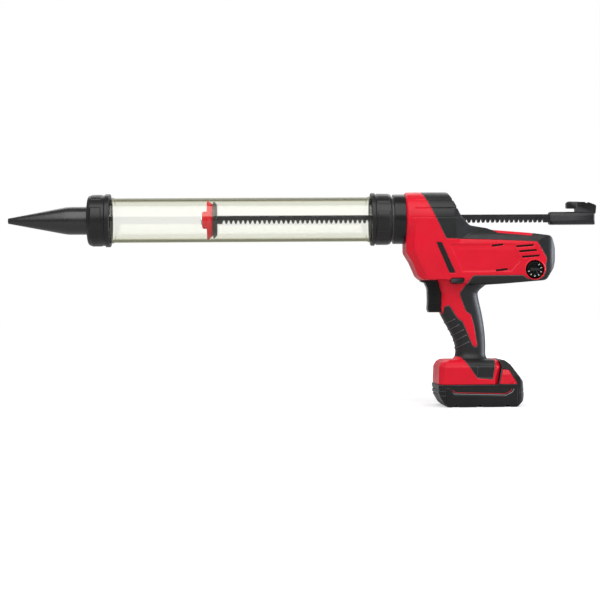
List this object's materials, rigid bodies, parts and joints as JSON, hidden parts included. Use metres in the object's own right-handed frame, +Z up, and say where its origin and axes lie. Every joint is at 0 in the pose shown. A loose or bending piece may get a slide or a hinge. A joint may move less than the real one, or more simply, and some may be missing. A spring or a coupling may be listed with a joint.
{
  "type": "caulking gun",
  "caption": "Battery-powered caulking gun with a clear sausage barrel, black screw cap and nozzle, toothed push rod with hook, red and black pistol-grip body and slide-on battery.",
  "frame": {"origin": "middle of the battery underside, on the surface the gun stands on", "axes": "+Z up, the nozzle points to -X, the gun is upright and -Y is its left side"},
  "size_m": [0.7734, 0.074, 0.2817],
  "materials": {
    "red_plastic": "satin",
    "black_plastic": "satin",
    "soft_rubber": "matte",
    "clear_plastic": "clear, slightly yellow",
    "black_steel": "black oxide",
    "steel": "machined",
    "cast_alloy": "black, satin",
    "cell_wrap": "shrink wrap",
    "circuit_board": "solder mask"
  },
  "bodies": {
    "gun_body": {"housing_left": "red_plastic", "housing_right": "red_plastic", "rubber_grip_left": "soft_rubber", "rubber_grip_right": "soft_rubber", "side_strip_left": "black_plastic", "side_strip_right": "black_plastic", "gear_case": "cast_alloy", "rack_guide": "cast_alloy", "terminal_block": "black_plastic", "control_board": "circuit_board", "trigger_switch": "black_plastic", "trigger_spring": "steel", "dial_potentiometer": "circuit_board", "planetary_gearbox": "cast_alloy", "motor": "black_steel", "pinion_bearing_left": "steel", "pinion_bearing_right": "steel", "lay_bearing_left": "steel", "lay_bearing_right": "steel", "case_screw_1": "steel", "case_screw_2": "steel", "case_screw_3": "steel", "case_screw_4": "steel", "case_screw_5": "steel", "case_screw_6": "steel"},
    "barrel": {"barrel_tube": "clear_plastic", "rear_collar": "black_plastic"},
    "nozzle": {"nozzle": "black_plastic", "nozzle_seal": "soft_rubber"},
    "front_cap": {"front_cap": "black_plastic"},
    "rod": {"rack_rod": "black_steel", "piston": "red_plastic", "piston_backplate": "black_plastic", "piston_nut": "steel", "rod_end_cap": "black_plastic", "hang_hook": "black_plastic", "hook_screw": "steel"},
    "pinion": {"pinion_shaft": "steel", "rack_pinion": "steel", "drive_gear": "steel"},
    "layshaft": {"layshaft": "steel", "lay_pinion": "steel", "bevel_gear": "steel"},
    "bevel_shaft": {"bevel_pinion": "steel"},
    "trigger": {"trigger": "black_plastic"},
    "lock_button": {"lock_button": "black_plastic"},
    "speed_dial": {"speed_dial": "black_plastic"},
    "battery": {"battery_case": "black_plastic", "battery_base": "black_plastic", "cell_1": "cell_wrap", "cell_2": "cell_wrap", "cell_3": "cell_wrap", "cell_4": "cell_wrap", "cell_5": "cell_wrap"},
    "latch_left": {"battery_latch_left": "red_plastic"},
    "latch_right": {"battery_latch_right": "red_plastic"}
  },
  "joints": [
    {"name": "rod_travel", "type": "slide", "parent": "gun_body", "child": "rod", "axis": [1, 0, 0], "range_m": [-0.104, 0.218]},
    {"name": "pinion_spin", "type": "hinge", "parent": "gun_body", "child": "pinion", "pos_m": [-0.045, 0, 0.22735], "axis": [0, 1, 0], "continuous": true},
    {"name": "layshaft_spin", "type": "hinge", "parent": "gun_body", "child": "layshaft", "pos_m": [-0.045, 0, 0.1936], "axis": [0, 1, 0], "continuous": true},
    {"name": "bevel_spin", "type": "hinge", "parent": "gun_body", "child": "bevel_shaft", "pos_m": [-0.03, 0, 0.1936], "axis": [1, 0, 0], "continuous": true},
    {"name": "barrel_turn", "type": "hinge", "parent": "gun_body", "child": "barrel", "pos_m": [-0.3, 0, 0.2465], "axis": [1, 0, 0], "continuous": true},
    {"name": "nozzle_release", "type": "slide", "parent": "barrel", "child": "nozzle", "axis": [-1, 0, 0], "range_m": [0, 0.022]},
    {"name": "cap_unscrew", "type": "hinge", "parent": "nozzle", "child": "front_cap", "pos_m": [-0.49, 0, 0.2465], "axis": [-1, 0, 0], "continuous": true},
    {"name": "trigger_pull", "type": "slide", "parent": "gun_body", "child": "trigger", "axis": [1, 0, 0], "range_m": [0, 0.007], "stiffness_N_per_m": 500, "springref_m": -0.008, "deforming": ["trigger_spring"]},
    {"name": "lock_slide", "type": "slide", "parent": "gun_body", "child": "lock_button", "axis": [0, 1, 0], "range_m": [-0.003, 0.003]},
    {"name": "dial_turn", "type": "hinge", "parent": "gun_body", "child": "speed_dial", "pos_m": [0.0765, -0.03, 0.1785], "axis": [0, -1, 0], "range_deg": [-135, 135]},
    {"name": "battery_slide", "type": "slide", "parent": "gun_body", "child": "battery", "axis": [1, 0, 0], "range_m": [0, 0.075]},
    {"name": "latch_left_press", "type": "slide", "parent": "battery", "child": "latch_left", "axis": [0, 1, 0], "range_m": [0, 0.003], "stiffness_N_per_m": 800, "springref_m": -0.004},
    {"name": "latch_right_press", "type": "slide", "parent": "battery", "child": "latch_right", "axis": [0, -1, 0], "range_m": [0, 0.003], "stiffness_N_per_m": 800, "springref_m": -0.004}
  ],
  "couplings": [
    {"joint": "pinion_spin", "follows": "rod_travel", "rad_per_m": 62.5},
    {"joint": "layshaft_spin", "follows": "rod_travel", "rad_per_m": -125},
    {"joint": "bevel_spin", "follows": "rod_travel", "rad_per_m": -187.5},
    {"joint": "cap_unscrew", "follows": "nozzle_release", "rad_per_m": 1570.8}
  ]
}
